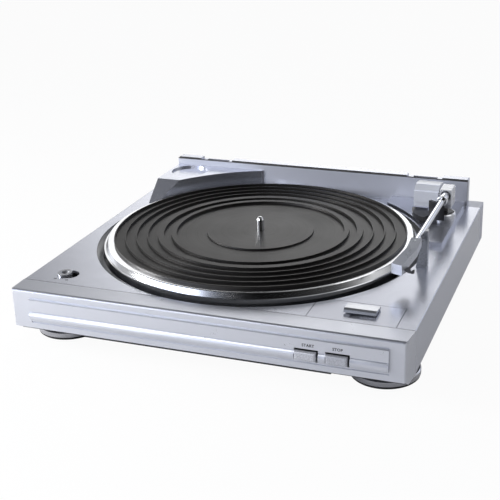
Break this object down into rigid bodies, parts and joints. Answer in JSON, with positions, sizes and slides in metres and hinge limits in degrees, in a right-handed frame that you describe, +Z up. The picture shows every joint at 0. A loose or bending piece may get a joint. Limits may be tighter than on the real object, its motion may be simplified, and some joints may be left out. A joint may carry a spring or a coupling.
{
  "type": "turntable",
  "caption": "Compact automatic belt-drive record deck in silver, with ribbed mat, straight tonearm, push buttons and round feet",
  "frame": {"origin": "on the floor under the middle of the deck", "axes": "+Z up, front towards -Y, +X to the right seen from the front"},
  "size_m": [0.36, 0.363, 0.0906],
  "materials": {
    "silver_cover": "silver painted moulding, satin",
    "silver_front": "silver painted moulding, satin",
    "silver_button": "silver painted, semi-gloss",
    "dark_dish": "dark grey moulding, semi-gloss",
    "cast_platter": "turned and polished rim",
    "platter_rubber": "soft matte rubber",
    "bright_chrome": "bright plated",
    "arm_silver": "silver painted, semi-gloss",
    "black_plastic": "fine-grained black",
    "soft_rubber": "matte",
    "foot_grey": "grey satin",
    "plain_steel": "zinc plated",
    "oiled_brass": "turned",
    "white_gear": "natural acetal",
    "board_green": "lacquered board",
    "winding_tape": "tape over copper wire",
    "tray_black": "fine-grained black moulding"
  },
  "bodies": {
    "plinth_body": {"top_cover": "silver_cover", "front_fascia": "silver_front", "button_bracket": "plain_steel", "button_switches": "black_plastic", "well_dish": "dark_dish", "dish_screws": "plain_steel", "bearing_bush": "oiled_brass", "bearing_cap": "plain_steel", "thrust_ball": "plain_steel", "motor_can": "plain_steel", "motor_screws": "plain_steel", "drive_belt": "soft_rubber", "cam_post": "plain_steel", "rear_housing": "silver_cover", "hinge_rail": "silver_cover", "bottom_tray": "tray_black", "tray_screws": "plain_steel", "foot_bodies": "foot_grey", "foot_rings": "soft_rubber", "foot_pads": "soft_rubber", "foot_screws": "plain_steel", "pivot_ring": "arm_silver", "pivot_sleeve": "oiled_brass", "arm_rest": "arm_silver", "lift_post": "black_plastic", "cue_axle": "plain_steel", "cue_hangers": "black_plastic", "speed_switch": "black_plastic", "transformer_core": "plain_steel", "transformer_winding": "winding_tape", "control_board": "board_green", "board_posts": "tray_black", "board_parts": "black_plastic", "mains_gland": "black_plastic", "signal_gland": "black_plastic"},
    "platter_body": {"platter": "cast_platter", "hub_pinion": "white_gear", "platter_mat": "platter_rubber", "spindle": "bright_chrome"},
    "pulley_body": {"motor_pulley": "oiled_brass"},
    "cam_body": {"cam_gear": "white_gear"},
    "swing_body": {"pivot_base": "black_plastic", "pivot_shaft": "plain_steel", "trip_plate": "black_plastic", "pivot_housing": "arm_silver"},
    "arm_body": {"arm_hub": "bright_chrome", "pitch_shaft": "plain_steel", "arm_tube": "bright_chrome", "counterweight": "arm_silver", "headshell": "arm_silver", "cartridge": "black_plastic", "stylus": "black_plastic", "finger_lift": "black_plastic"},
    "lifter_body": {"lift_arc": "black_plastic"},
    "cue_body": {"cue_lever": "silver_button"},
    "speed_body": {"speed_knob": "silver_button"},
    "start_body": {"start_button": "silver_button"},
    "stop_body": {"stop_button": "silver_button"}
  },
  "joints": [
    {"name": "platter_spin", "type": "hinge", "parent": "plinth_body", "child": "platter_body", "pos_m": [-0.0088, 0.0044, 0.0624], "axis": [0, 0, 1], "continuous": true},
    {"name": "pulley_spin", "type": "hinge", "parent": "plinth_body", "child": "pulley_body", "pos_m": [-0.11665, -0.04589, 0.05], "axis": [0, 0, 1], "continuous": true},
    {"name": "cam_turn", "type": "hinge", "parent": "plinth_body", "child": "cam_body", "pos_m": [0.0336, 0.0309, 0.045], "axis": [0, 0, 1], "range_deg": [0, 8]},
    {"name": "arm_swing", "type": "hinge", "parent": "plinth_body", "child": "swing_body", "pos_m": [0.151, 0.102, 0.065], "axis": [0, 0, -1], "range_deg": [0, 38]},
    {"name": "arm_lift", "type": "hinge", "parent": "swing_body", "child": "arm_body", "pos_m": [0.1542, 0.104, 0.085], "axis": [-1, 0, 0], "range_deg": [0, 3]},
    {"name": "lifter_rise", "type": "slide", "parent": "plinth_body", "child": "lifter_body", "axis": [0, 0, 1], "range_m": [0, 0.0011]},
    {"name": "cue_turn", "type": "hinge", "parent": "plinth_body", "child": "cue_body", "pos_m": [0.123, -0.1208, 0.048], "axis": [-1, 0, 0], "range_deg": [0, 10]},
    {"name": "speed_slide", "type": "slide", "parent": "plinth_body", "child": "speed_body", "axis": [1, 0, 0], "range_m": [0, 0.007]},
    {"name": "start_push", "type": "slide", "parent": "plinth_body", "child": "start_body", "axis": [0, 1, 0], "range_m": [0, 0.0025], "stiffness_N_per_m": 300},
    {"name": "stop_push", "type": "slide", "parent": "plinth_body", "child": "stop_body", "axis": [0, 1, 0], "range_m": [0, 0.0025], "stiffness_N_per_m": 300}
  ],
  "couplings": [
    {"joint": "pulley_spin", "follows": "platter_spin", "ratio": 14.383},
    {"joint": "lifter_rise", "follows": "arm_lift", "m_per_rad": 0.017},
    {"joint": "cue_turn", "follows": "arm_lift", "ratio": 3.3333}
  ]
}
